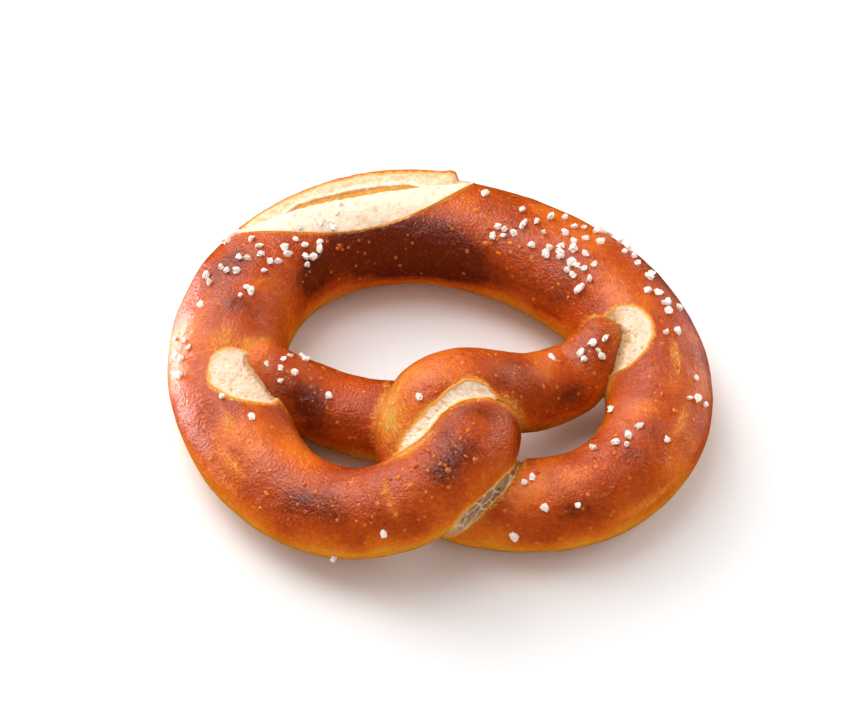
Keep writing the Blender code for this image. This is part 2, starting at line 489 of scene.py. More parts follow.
def crust_material():
    """Lye-browned crust: mahogany on top, golden by the bare places, finely wrinkled, with painted shade
    and painted sheen carried in its bake field.
    """
    material, n, surface = new_look("browned_crust")
    place = n.place()
    rope_uv = n.node("ShaderNodeUVMap", uv_map="rope").outputs["UV"]
    gold = n.field("gold")
    uneven = n.effect(mottle, Place=place, Coarse=95.0, Fine=650.0, Amount=0.38)
    cells = n.node("ShaderNodeTexVoronoi", {"Vector": place, "Scale": 380.0})
    speck_size = n.span(cells.outputs["Color"], 0.1, 1.0, 0.06, 0.30)
    speck = n.span(n.math("DIVIDE", cells.outputs["Distance"], speck_size), 1.0, 0.45)
    ripple = n.grain(n.stretch(rope_uv, (0.38, 0.9, 1.0)), 1.0, 4.0, 0.6, 0.6)
    crackle = n.span(n.math("ABSOLUTE", n.math("SUBTRACT", ripple, 0.5)), 0.055, 0.0)

    # The bake field is real browning plus painted shade and painted sheen; the darkest stop serves the
    # painted shade on the far wall.
    bake_and_painted_light = n.math("ADD", n.field("bake_and_painted_light"), uneven)
    base = n.mix(n.span(bake_and_painted_light, 0.0, 0.42), colour(240, 150, 36), colour(224, 106, 20))
    base = n.mix(n.span(bake_and_painted_light, 0.38, 0.72), base, colour(182, 68, 14))
    base = n.mix(n.span(bake_and_painted_light, 0.68, 1.1), base, colour(98, 30, 9))
    fine = n.grain(place, 1150.0, 3.0, 0.7)
    base = n.mix(n.span(fine, 0.56, 0.30, 0.0, 0.22), base, colour(118, 36, 6))
    base = n.mix(n.span(fine, 0.50, 0.75, 0.0, 0.15), base, colour(240, 136, 36))
    base = n.mix(n.math("MULTIPLY", speck, 0.5), base, colour(236, 142, 46))
    glow = n.total((gold, 0.8), (uneven, 0.9), (n.math("MULTIPLY", crackle, gold), 1.3))
    base = n.mix(n.span(glow, 0.28, 0.74), base, colour(244, 146, 36))
    base = n.mix(n.span(glow, 0.72, 1.2), base, colour(255, 204, 104))
    n.feed(surface["Base Color"], base)

    across = n.grain(n.stretch(rope_uv, (1.5, 0.3, 1.0)), 1.0, 3.0, 0.55, 0.8)
    patchy = n.span(n.grain(place, 130.0, 2.0), 0.42, 0.62)
    along = n.grain(n.stretch(rope_uv, (0.25, 1.1, 1.0)), 1.0, 3.0, 0.55, 0.5)
    height = n.total(
        (n.effect(pimples, Place=place, Scale=1350.0, Rise=0.32), 1.0),
        (n.math("MULTIPLY", across, patchy), 0.42), (along, 0.10),
        (speck, 0.12), (n.math("MULTIPLY", crackle, gold), 0.25))
    n.feed(surface["Normal"], n.bump(height))
    n.feed(surface["Roughness"], n.span(uneven, -0.15, 0.15, 0.12, 0.21))
    surface["Specular IOR Level"].default_value = 0.4
    return material


def crumb_material():
    """Torn crumb: cream, golden at its rims, crusted at a lip, darkened with painted shade down in its
    pores, cracks and hollows.
    """
    material, n, surface = new_look("crumb")
    place = n.place()
    rim = n.field("rim")
    deep = n.field("deep")
    uneven = n.effect(mottle, Place=place, Coarse=330.0, Fine=1100.0, Amount=1.0)
    cream = n.mix(n.span(uneven, -0.05, 0.3), colour(244, 223, 196), colour(224, 194, 156))
    cream = n.mix(n.span(n.field("olive"), 0.0, 0.4, 0.0, 0.36), cream, colour(226, 170, 130))
    edge = n.math("ADD", rim, n.math("MULTIPLY", uneven, 1.2))
    base = n.mix(n.span(edge, 0.0, 0.7), colour(242, 164, 58), cream)
    # Painted shade: the deep field darkens spots towards golden brown and then dark brown, duller where
    # the olive field is high.
    hollow = n.math("ADD", deep, n.math("MULTIPLY", uneven, 0.4))
    base = n.mix(n.span(hollow, 0.1, 0.65), base, n.mix(
        n.field("olive"), colour(212, 150, 68), colour(200, 158, 112)))
    base = n.mix(n.span(hollow, 0.6, 1.1), base, n.mix(
        n.field("olive"), colour(104, 56, 14), colour(128, 88, 48)))
    base = n.mix(n.field("crusted"), base, colour(212, 106, 28))
    n.feed(surface["Base Color"], base)
    n.feed(surface["Normal"], n.bump(n.effect(pimples, Place=place, Scale=1500.0, Rise=0.14)))
    n.feed(surface["Roughness"], n.span(n.field("crusted"), 0.0, 1.0, 0.8, 0.4))
    return material


def salt_material():
    """Coarse baker's salt, milky with creamy veils."""
    material, n, surface = new_look("salt")
    uneven = n.effect(mottle, Place=n.place(), Coarse=420.0, Fine=1500.0, Amount=1.0)
    base = n.mix(n.span(uneven, -0.15, 0.2), colour(255, 250, 242), colour(242, 222, 202))
    n.feed(surface["Base Color"], base)
    n.feed(surface["Roughness"], n.span(uneven, -0.2, 0.2, 0.3, 0.5))
    return material


crust_look = crust_material()
crumb_look = crumb_material()
salt_look = salt_material()


# ---------------------------------------------------------------- the crust
def split_opening(distance):
    """How far the split is open: 1 at its middle, 0 past its ends."""
    return np.sqrt(np.clip(1.0 - ((distance - SPLIT_MIDDLE) / SPLIT_HALF) ** 2, 0.0, 1.0))


def flap_lift(distance):
    """The back lip stands up, more to the right, and ends in a knob short of the split's end."""
    rise = smooth(SPLIT_MIDDLE - SPLIT_HALF, SPLIT_MIDDLE + 12.0, distance)
    knob = 0.6 * np.exp(-((distance - FLAP_END + 2.2) / 1.5) ** 2)
    stand = FLAP_LIFT * (0.25 + 0.75 * rise) * rise ** 0.5 + knob
    return stand * smooth(0.0, 1.2, FLAP_END - distance)


def patch_edge(patch, bearing):
    """How far a bare patch reaches in a direction, in mm: an oval with an uneven rim."""
    reach, stretch, lean = patch[2:]
    oval = reach + stretch * np.cos(2.0 * (bearing - np.radians(lean)))
    ring = np.stack([np.cos(bearing), np.sin(bearing), np.full_like(bearing, patch[0])], -1)
    return oval + 0.55 * noise(ring * (1.0, 1.0, 0.01), 0.35, 21)


def patch_inside(patch, distance, angle):
    """Distance in mm inside a bare patch's rim, negative outside it."""
    along = distance - patch[0]
    around = np.radians(angle - patch[1]) * rope.size(distance)
    return patch_edge(patch, np.arctan2(around, along)) - np.hypot(along, around)


def seam_inside(seam, columns, away, distance, angle):
    """Distance in mm inside a seam's rim on one strand, negative outside it."""
    table = np.array(seam)[:, columns]
    table = table[np.argsort(table[:, 0])]
    rim = np.interp(distance, table[:, 0], table[:, 1])
    turn = (angle - rim + 180.0) % 360.0 - 180.0
    inside = np.radians(away * turn) * rope.size(distance)
    ends = np.minimum(distance - table[0, 0], table[-1, 0] - distance)
    return np.where(inside < 16.0, np.minimum(inside, 0.7 * ends + 0.8), -9.0)


def bare_inside(distance, angle):
    """Distance in mm inside the nearest bare place, negative outside all of them."""
    return np.max([
        patch_inside(LEFT_PATCH, distance, angle),
        patch_inside(RIGHT_PATCH, distance, angle),
        seam_inside(SEAM_BEHIND, [0, 1], 1.0, distance, angle),
        seam_inside(SEAM_BEHIND, [2, 3], 1.0, distance, angle),
        seam_inside(SEAM_BELOW, [0, 1], -1.0, distance, angle),
        seam_inside(SEAM_BELOW, [2, 3], 1.0, distance, angle),
    ], axis=0)


def on_places(places, distance, angle):
    """The sum of soft ovals laid on the rope: strength * exp(-along^2 - around^2)."""
    total = np.zeros(np.broadcast(distance, angle).shape)
    for spot, turn, reach_along, reach_around, strength in places:
        along = (distance - spot) / reach_along
        around = np.radians((angle - turn + 180.0) % 360.0 - 180.0)
        around = around * rope.size(distance) / reach_around
        total += strength * np.exp(-along ** 2 - around ** 2)
    return total


def crust_lift(distance, angle, points):
    """Lumps, dimples and creases of the baked skin, in mm; knobblier at the tips."""
    lumps = 0.40 * noise(points, 13.0, 1) + 0.16 * noise(points, 5.5, 2)
    on_tip = np.minimum(distance, rope.length - distance)
    knobs = 0.22 * noise(points, 2.6, 6) * smooth(34.0, 10.0, on_tip)
    knobs = knobs + 0.8 * smooth(14.0, 2.0, distance) * smooth(-6.0, 1.0, distance)
    pits = 0.16 * np.minimum(noise(points, 2.4, 7) + 0.25, 0.0)
    for spot, turn, reach, deep in CREASES:
        waver = 0.7 * noise(points, 4.0, 9)
        around = np.radians(angle - turn) * rope.size(distance) - waver
        ends = smooth(reach, 0.4 * reach, np.abs(distance - spot))
        lumps = lumps - deep * ends * np.exp(-(around / 0.75) ** 2)
    return lumps + knobs + pits


def crust_columns():
    """Angles round the rope, close together on top and at the split's lips."""
    lips = [BACK_LIP, BACK_LIP + 0.35, BACK_LIP + SPLIT_SPREAD - 0.35, BACK_LIP + SPLIT_SPREAD]
    under = np.linspace(-90.0, -20.0, 10, endpoint=False)
    front = np.linspace(-20.0, BACK_LIP, 18, endpoint=False)
    lens = np.linspace(BACK_LIP, BACK_LIP + SPLIT_SPREAD, 26)[1:-1]
    back = np.linspace(BACK_LIP + SPLIT_SPREAD, 200.0, 26)[1:]
    below = np.linspace(200.0, 270.0, 10, endpoint=False)[1:]
    return np.sort(np.concatenate([under, front, lips, lens, back, below]))


def add_crust():
    tips = 0.5 * np.pi * np.arange(1, 13) / 12.6
    distance = np.concatenate([
        -rope.reach[0] * np.sin(tips[::-1]),
        np.linspace(0.0, rope.length, 1030),
        rope.length + rope.reach[1] * np.sin(tips),
    ])[:, None]
    base = crust_columns()[None, :]
    opening = split_opening(distance)
    past = np.maximum(np.abs(distance - SPLIT_MIDDLE) - SPLIT_HALF, 0.0)
    open_columns = np.maximum(opening, 0.1) + 0.9 * smooth(0.0, 14.0, past)
    front_lip = BACK_LIP + SPLIT_SPREAD * open_columns
    lens = (base > BACK_LIP) & (base < BACK_LIP + SPLIT_SPREAD)
    beyond = (base >= BACK_LIP + SPLIT_SPREAD) & (base < 200.0)
    squeezed = BACK_LIP + (base - BACK_LIP) * open_columns
    stretched = 200.0 - (200.0 - base) * (200.0 - front_lip) / (200.0 - BACK_LIP - SPLIT_SPREAD)
    angle = np.where(lens, squeezed, np.where(beyond, stretched, base))

    radius = rope.size(distance)
    plain = rope.skin(distance, angle)
    lift = crust_lift(distance, angle, plain)
    lift = lift * smooth(0.0, 3.0, radius)
    flap = flap_lift(distance) * np.exp(-((angle - BACK_LIP) / 11.0) ** 2)
    lift = lift + np.where(angle <= BACK_LIP, flap, 0.0)
    lift = lift - np.where(lens, 1.8 * smooth(0.05, 0.3, opening), 0.0)
    bare = bare_inside(distance, angle)
    lift = lift - 1.6 * smooth(-0.2, 1.3, bare)

    gap = np.full(plain.shape[:2], 99.0)
    for first, last, others in (
            (-9.0, 130.0, ((340.0, 545.0), (150.0, 200.0))),
            (150.0, 200.0, ((-9.0, 25.0),)),
            (330.0, 380.0, ((510.0, 545.0),)),
            (400.0, 545.0, ((-9.0, 130.0), (330.0, 380.0)))):
        rows = (distance[:, 0] >= first) & (distance[:, 0] <= last)
        for other in others:
            apart = rope.depth(plain[rows], *other)[0]
            gap[rows] = np.minimum(gap[rows], apart)
    lips = np.where(angle <= BACK_LIP, BACK_LIP - angle, angle - front_lip)
    lips = np.radians(np.maximum(lips, 0.0)) * radius + 30.0 * (opening <= 0.0)
    nearest = np.minimum(np.maximum(-bare, 0.0), 2.2 * lips)
    on_tip = np.minimum(distance, rope.length - distance)
    gap_gold = smooth(4.5, 0.5, gap) * (0.15 + 0.5 * smooth(14.0, 30.0, on_tip))
    rim_gold = smooth(1.3 + 1.0 * noise(plain, 6.0, 8), 0.0, nearest)
    gold = np.maximum(gap_gold, 0.85 * rim_gold) + on_places(GOLDEN_PLACES, distance, angle)
    facing = rope.facing(distance, angle)
    bake_and_painted_light = 0.46 + 0.30 * noise(plain, 20.0, 3) + 0.18 * noise(plain, 7.0, 4)
    bake_and_painted_light = bake_and_painted_light + 0.20 * facing[..., 2] - 0.50 * smooth(0.3, -0.5, facing[..., 2])
    # Painted light: the placed ovals add painted shade on the far wall and under the arms, and painted
    # sheen where they lighten.
    bake_and_painted_light = bake_and_painted_light + on_places(BAKED_AND_PAINTED_LIGHT_PLACES, distance, angle) - 0.4 * np.minimum(gold, 1.0)
    fields = {"gold": gold, "bake_and_painted_light": bake_and_painted_light}
    turn = np.concatenate([angle, angle[:, :1] + 360.0], axis=1)
    uv = np.stack([np.broadcast_to(distance, turn.shape), np.radians(turn) * radius], -1)
    ends = rope.centre[[0, -1]]
    points = rope.skin(distance, angle, lift)
    crust = add_grid("crust", points, uv, fields, crust_look, closed=True, tips=ends)
    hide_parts("pretzel")
    return crust


# ---------------------------------------------------------------- the bare crumb
def add_split():
    """The split's crumb: a back facet falling from the back lip, a crack, and a full front.

    Across the split (0 at the back lip, 1 at the front lip) the height goes from the lip's
    lift down to the crack's edge, along the crack's floor, then up over sin(pi * t^0.8).
    """
    rows = np.linspace(-1.0, 1.0, 401)
    distance = (SPLIT_MIDDLE + SPLIT_HALF * np.sin(0.5 * np.pi * rows) * 0.9995)[:, None]
    across = np.linspace(-0.01, 1.01, 151)[None, :]
    opening = split_opening(distance)
    angle = BACK_LIP + SPLIT_SPREAD * opening * across
    plain = rope.skin(distance, angle)
    width = np.radians(SPLIT_SPREAD * opening) * rope.size(distance)
    fine = noise(plain, 0.9, 12)
    rough = 0.16 * noise(plain, 2.6, 11) + 0.10 * fine
    crack = smooth(CRACK[0], CRACK[0] + 9.0, distance) * smooth(CRACK[1], CRACK[1] - 9.0, distance)
    torn = noise(plain * (1.0, 0.15, 0.15), 0.9, 13)
    brink = 0.53 + 0.012 * torn + 0.02 * noise(plain, 5.0, 16)
    foot = brink - 0.012 - 0.23 * crack
    share = across / foot
    back = flap_lift(distance) * (1.0 - share) - (0.4 + 1.0 * opening) * opening * share
    floor_ = -(1.1 + 3.4 * crack) * opening
    fibres = crack * smooth(0.35, 0.7, noise(plain * (1.0, 0.08, 0.08), 0.6, 14))
    floor_ = floor_ * (1.0 - 0.55 * fibres)
    front = 0.45 * np.sin(np.pi * np.clip((across - brink) / (1.0 - brink), 0.0, 1.0) ** 0.8)
    front = front * opening + 0.25
    wall = smooth(foot - 0.008, foot + 0.02 + 0.05 * crack, across)
    height = back + (floor_ - back) * wall
    height = height + (front - height) * smooth(brink - 0.012, brink + 0.01, across)
    tuck = smooth(0.0, -0.01, across) + smooth(1.0, 1.01, across)
    height = height + rough * opening - 0.5 * tuck
    # Painted shade: the crack is darkened, most next to the brink, and the front facet's pocks too; the
    # back facet's yellowing added in is its own colour.
    inside = smooth(foot - 0.03, foot + 0.01, across) * smooth(brink + 0.012, brink, across)
    deeper = crack * smooth(foot + 0.02, brink - 0.06, across)
    deep = inside * (0.55 + 0.8 * deeper) * (1.0 - 0.5 * fibres)
    pocks = smooth(0.35, 0.75, noise(plain, 1.6, 15)) * smooth(brink, brink + 0.05, across)
    yellowed = 0.38 * smooth(foot, foot - 0.1, across) * smooth(0.0, 0.5, opening)
    deep = np.maximum(deep, 0.30 * pocks) + yellowed
    from_back, from_front = across * width, (1.0 - across) * width
    fields = {
        "rim": np.minimum(from_back - 1.6, from_front + 0.1) + 0.1 * fine,
        "deep": deep,
        "crusted": smooth(1.3, 0.8, from_back + 0.4 * fine),
        "olive": np.zeros_like(plain[..., 0]),
    }
    uv = np.stack([np.broadcast_to(distance, angle.shape), np.radians(angle) * rope.size(distance)], -1)
    return add_grid("split_crumb", rope.skin(distance, angle, height), uv, fields, crumb_look)


def torn_crumb(points, fibres):
    """Roughness of torn crumb in mm, and how deep each spot lies in a pore, 0 to 1, which the pieces
    darken as painted shade.
    """
    coarse = noise(points, 2.2, 31)
    fine = noise(points, 0.8, 32)
    finest = noise(points, 0.4, 33)
    rough = 0.16 * coarse + 0.13 * fine + 0.08 * finest + 0.12 * fibres
    return rough, smooth(0.1, 0.8, -(0.4 * coarse + 0.6 * fine + 0.4 * fibres))


def strip_profile(edge):
    """Lift in mm by distance from the rim: tucked under the crust, then over its torn edge."""
    return 0.2 * np.exp(-((edge - 0.05) / 0.25) ** 2) - 0.9 * smooth(-0.1, -0.7, edge)


def seam_strip(stations, sag, seed):
    """A strip between two rims: a quadratic curve whose handle sags towards the meeting line."""
    stations = np.array(stations)
    steps = np.hypot(*np.diff(stations[:, [0, 2]], axis=0).T)
    knots = np.concatenate([[0.0], np.cumsum(steps)])
    rows = np.linspace(0.0, knots[-1], 380)
    table = np.stack([np.interp(rows, knots, column) for column in stations.T])
    for _ in range(14):
        table[:, 1:-1] = (table[:, :-2] + table[:, 1:-1] + table[:, 2:]) / 3.0
    near_s, near_angle, far_s, far_angle = table
    near = rope.skin(near_s, near_angle)
    far = rope.skin(far_s, far_angle)
    inward = -unit(rope.facing(near_s, near_angle) + rope.facing(far_s, far_angle))
    width = np.linalg.norm(far - near, axis=-1)
    ragged = 0.25 * noise(near, 1.3, seed) + 0.15 * noise(near, 0.5, seed + 1)
    inside = -0.8 + (width[:, None] + 1.6) * np.linspace(0.0, 1.0, 71)
    share = (inside / width[:, None])[..., None]
    handle = (near + far)[:, None] / 2.0 + (2.0 * sag * width)[:, None, None] * inward[:, None]
    inner = np.clip(share, 0.0, 1.0)
    curve = (1.0 - inner) ** 2 * near[:, None] + 2.0 * inner * (1.0 - inner) * handle
    curve += inner ** 2 * far[:, None]
    curve += (share - inner) * (far - near)[:, None]
    out = unit(np.cross(np.gradient(curve, axis=0), np.gradient(curve, axis=1)))
    out *= np.sign(np.sum(out * -inward[:, None], axis=-1, keepdims=True))
    out = unit(out - inward[:, None])
    inside = inside + ragged[:, None]
    return rows[:, None] + np.zeros_like(inside), curve, out, inside, width[:, None]


def bubbles(along, inside, width, seed):
    """Torn bubbles: 0 on the walls between them, 1 inside, by the nearest two of many middles."""
    rng = np.random.default_rng(seed)
    middles = rng.uniform((-1.0, -0.6), (along.max() + 1.0, 0.6), (int(along.max() / 1.6), 2))
    middles[:, 1] *= width.mean()
    place = np.stack([along, inside - width / 2.0], -1) + 0.25 * noise_pair(along, inside, seed)
    reach = np.linalg.norm((place[..., None, :] - middles) * (1.0, 0.75), axis=-1)
    nearest = np.sort(reach, axis=-1)
    return smooth(0.05, 0.55, nearest[..., 1] - nearest[..., 0])


def noise_pair(along, inside, seed):
    """Two smooth noises, to make a straight pattern waver."""
    spot = np.stack([along, inside, np.zeros_like(along)], -1)
    return np.stack([noise(spot, 0.9, seed + 5), noise(spot, 0.9, seed + 6)], -1)


def add_fibrous_seam():
    """The seam behind the front piece: cream crumb pulled into fibres from rim to rim."""
    along, curve, out, inside, width = seam_strip(SEAM_BEHIND, 0.13, 41)
    edge = np.minimum(inside, width - inside)
    pulled = np.stack([along, inside * 0.16, np.zeros_like(edge)], -1)
    fibres = 0.7 * noise(pulled, 0.6, 43) + 0.5 * noise(pulled, 0.3, 44)
    rough, deep = torn_crumb(curve, fibres)
    body = smooth(0.1, 0.8, edge)
    # Painted shade: the pores, the blotches and the strip's middle away from both rims are darkened
    # towards olive brown.
    shade_blotches = smooth(0.0, 0.7, noise(curve, 2.8, 45)) * smooth(0.6, 1.6, edge)
    deep = body * (0.32 * deep + 0.16 * shade_blotches + 0.18 * smooth(0.9, 2.0, edge))
    height = strip_profile(edge) + body * (rough + 0.10 * fibres)
    fields = {"rim": edge - 0.1, "deep": deep, "olive": 0.8 * shade_blotches, "crusted": np.zeros_like(edge)}
    uv = np.stack([along, inside], -1)
    return add_grid("seam_behind", curve + height[..., None] * out, uv, fields, crumb_look)


def add_bubbled_seam():
    """The seam below: torn open into bubbles with thin pale walls between them, the bubbles darkened
    brown as painted shade.
    """
    along, curve, out, inside, width = seam_strip(SEAM_BELOW, 0.03, 51)
    edge = np.minimum(inside, width - inside)
    rough, deep = torn_crumb(curve, noise(curve, 0.5, 53))
    body = smooth(0.15, 0.6, edge)
    hole = bubbles(along, inside, width, 52) * body
    height = strip_profile(edge) + body * rough * 1.3 - 0.9 * hole
    # Painted shade: the bubbles, and the strip a little, are darkened, less towards both ends.
    lighter = smooth(0.55, 0.9, along / along.max()) + smooth(0.12, 0.0, along / along.max())
    deep = hole * (0.62 + 0.55 * deep) * (1.0 - 0.5 * lighter) + 0.2 * body
    fields = {"rim": edge, "deep": deep, "olive": smooth(0.1, 0.6, edge), "crusted": np.zeros_like(edge)}
    uv = np.stack([along, inside], -1)
    return add_grid("seam_below", curve + height[..., None] * out, uv, fields, crumb_look)


def add_patch(name, patch, tip, seed):
    """A bare patch on the ring: a disc of crumb, sunk where the tip lay on it, with painted olive-brown
    shade there and in its pores.
    """
    bearing = np.linspace(0.0, 2.0 * np.pi, 281)[:-1]
    reach = patch_edge(patch, bearing)
    share = np.linspace(0.0, 1.0, 66)[1:]
    outer = (reach + 0.8)[None, :] * share[:, None]
    distance = patch[0] + outer * np.cos(bearing)
    angle = patch[1] + np.degrees(outer * np.sin(bearing) / rope.size(distance))
    edge = reach - outer
    plain = rope.skin(distance, angle)
    ragged = 0.2 * noise(plain, 1.1, seed) + 0.15 * noise(plain, 0.5, seed + 2)
    rough, deep = torn_crumb(plain, noise(plain, 0.6, seed + 1))
    body = smooth(0.1, 0.9, edge)
    under_tip = smooth(4.5, 0.5, rope.depth(plain, *tip)[0])
    bowl = -0.25 * smooth(0.0, 2.0, edge) - 0.5 * under_tip * body
    height = strip_profile(edge + ragged) + body * rough * 0.8 + bowl
    uv = np.stack([distance, np.radians(angle) * rope.size(distance)], -1)
    points = rope.skin(distance, angle, height)
    # Painted shade: the pores and the hollow beside the tip are darkened, duller olive brown by the tip.
    hollow = body * (0.12 + 0.42 * deep + 0.55 * under_tip)
    fields = {"rim": edge + ragged, "deep": hollow, "olive": 0.4 + 0.6 * under_tip,
              "crusted": np.zeros_like(edge)}
    points, uv = points.transpose(1, 0, 2), uv.transpose(1, 0, 2)
    fields = {key: values.T for key, values in fields.items()}
    return add_disc(name, points, uv, fields, crumb_look)


def add_disc(name, points, uv, fields, material):
    """A disc: its rows are spokes from the middle outwards, joined all round."""
    spokes, rings = points.shape[:2]
    index = np.arange(spokes * rings).reshape(spokes, rings)
    index = np.concatenate([index, index[:1]])
    uv = np.concatenate([uv, uv[:1]])
    quads = np.stack([index[:-1, :-1], index[:-1, 1:], index[1:, 1:], index[1:, :-1]], -1)
    corners = np.stack([uv[:-1, :-1], uv[:-1, 1:], uv[1:, 1:], uv[1:, :-1]], -2)
    hub = spokes * rings
    fan = np.stack([np.full(spokes, hub), index[:-1, 0], index[1:, 0]], -1)
    centre_uv = uv[:-1, 0].mean(axis=0)
    fan_uv = np.stack([np.broadcast_to(centre_uv, (spokes, 2)), uv[:-1, 0], uv[1:, 0]], 1)
    flat = np.concatenate([points.reshape(-1, 3), points[:, 0].mean(axis=0)[None]])
    mesh = bpy.data.meshes.new(name)
    mesh.from_pydata(placed(flat), [], quads.reshape(-1, 4).tolist() + fan.tolist())
    loops = np.concatenate([corners.reshape(-1, 2), fan_uv.reshape(-1, 2)])
    mesh.uv_layers.new(name="rope").data.foreach_set("uv", loops.ravel())
    fields = {k: np.append(v.ravel(), v[:, 0].mean()) for k, v in fields.items()}
    return finish_piece(name, mesh, fields, material)


# ---------------------------------------------------------------- blisters and salt
# Handfuls: how many, distance, angle, spread along in mm, spread round in degrees.
BLISTERS = [
    (70, 270.0, 90.0, 270.0, 65.0),
    (22, 95.0, 85.0, 9.0, 35.0),
    (14, 108.0, 60.0, 12.0, 35.0),
    (12, 415.0, 75.0, 20.0, 40.0),
    (10, 140.0, 70.0, 20.0, 40.0),
    (12, 345.0, 80.0, 25.0, 40.0),
    (12, 295.0, 110.0, 10.0, 30.0),
    (8, 14.0, 80.0, 12.0, 50.0),
    (6, 500.0, 90.0, 16.0, 40.0),
    (2, 194.5, 70.0, 2.0, 6.0),
]
SALT = [
    (8, 233.0, 114.0, 11.0, 17.0),
    (3, 230.0, 131.0, 6.0, 5.0),
    (7, 217.0, 84.0, 9.0, 13.0),
    (3, 219.0, 109.0, 4.5, 6.0),
    (3, 206.0, 103.0, 3.0, 7.0),
    (4, 208.0, 62.0, 9.0, 10.0),
    (3, 222.0, 47.0, 5.0, 5.0),
    (7, 187.0, 43.0, 8.0, 13.0),
    (1, 169.0, 78.0, 1.0, 2.0),
    (1, 161.5, 97.0, 1.0, 2.0),
    (6, 4.0, 88.0, 6.0, 34.0),
    (2, 10.0, 42.0, 3.0, 12.0),
    (1, 22.0, 103.0, 1.0, 3.0),
    (1, 288.0, 70.0, 1.0, 3.0),
    (5, 297.5, 112.0, 4.0, 9.0),
    (13, 311.0, 94.0, 12.5, 32.0),
    (6, 317.0, 108.0, 9.0, 15.0),
    (6, 318.0, 66.0, 8.0, 12.0),
    (4, 322.0, 40.0, 6.0, 8.0),
    (6, 326.5, 112.0, 6.0, 17.0),
    (4, 329.0, 54.0, 4.5, 10.0),
    (6, 342.0, 63.0, 9.0, 14.0),
    (2, 348.0, 62.0, 3.0, 16.0),
    (2, 357.0, 74.0, 2.5, 14.0),
    (4, 371.5, 46.0, 6.0, 14.0),
    (1, 382.0, 143.0, 1.0, 2.0),
    (4, 394.0, 97.0, 5.5, 12.0),
    (1, 388.0, 61.0, 1.0, 2.0),
    (1, 403.0, 118.0, 1.0, 2.0),
    (2, 423.0, 90.0, 3.0, 8.0),
    (2, 415.0, 52.0, 5.5, 4.0),
    (1, 426.0, 16.0, 1.0, 2.0),
    (6, 528.0, 106.0, 5.0, 24.0),
    (1, 512.0, 76.0, 1.0, 4.0),
    (1, 110.0, 26.0, 1.0, 2.0),
    (1, 125.0, 340.0, 1.0, 2.0),
    (1, 474.0, 95.0, 3.0, 6.0),
    (5, 241.0, 98.0, 11.0, 12.0),
]


def scattered(rng, handfuls):
    """Each handful laid like sunflower seeds in an oval: reach sqrt(i / n), turn 2.4 * i."""
    table = np.array(handfuls)
    count = table[:, 0].astype(int)
    order = np.concatenate([np.arange(n) for n in count])
    first_turn = np.repeat(rng.uniform(0.0, 2.0 * np.pi, len(table)), count)
    count, distance, angle, along, around = np.repeat(table, count, axis=0).T
    turn = first_turn + 2.4 * order + rng.uniform(-0.3, 0.3, len(order))
    reach = np.sqrt((order + 0.5) / count) * rng.uniform(0.85, 1.1, len(order))
    return distance + along * reach * np.cos(turn), angle + around * reach * np.sin(turn)


def on_skin(distance, angle):
    """A spot on the skin with its outward, lengthwise and crosswise directions."""
    out = rope.facing(distance, angle)
    side = unit(np.cross(out, rope.pick(rope.tangent, distance)))
    return rope.skin(distance, angle), out, np.cross(side, out), side


def add_copies(name, bodies, rings, columns, distance, angle, fields, material, flat):
    """Many small bodies in one piece: a top point, then rings of points, then maybe a foot."""
    count, per = bodies.shape[:2]
    ring = 1 + np.arange(rings * columns).reshape(rings, columns)
    turned = np.roll(ring, -1, axis=1)
    quads = np.stack([ring[:-1], ring[1:], turned[1:], turned[:-1]], -1).reshape(-1, 4)
    fan = np.stack([np.zeros(columns, int), ring[0], turned[0]], -1)
    if per > 1 + rings * columns:
        foot = np.stack([np.full(columns, per - 1), turned[-1], ring[-1]], -1)
        fan = np.concatenate([fan, foot])
    start = per * np.arange(count)[:, None, None]
    faces = (quads + start).reshape(-1, 4).tolist() + (fan + start).reshape(-1, 3).tolist()
    mesh = bpy.data.meshes.new(name)
    mesh.from_pydata(placed(bodies.reshape(-1, 3)), [], faces)
    spot = np.stack([distance, np.radians(angle) * rope.size(distance)], -1)
    loops = [np.repeat(spot, quads.size, axis=0), np.repeat(spot, fan.size, axis=0)]
    mesh.uv_layers.new(name="rope").data.foreach_set("uv", np.concatenate(loops).ravel())
    fields = {key: np.repeat(values, per) for key, values in fields.items()}
    return finish_piece(name, mesh, fields, material, flat)


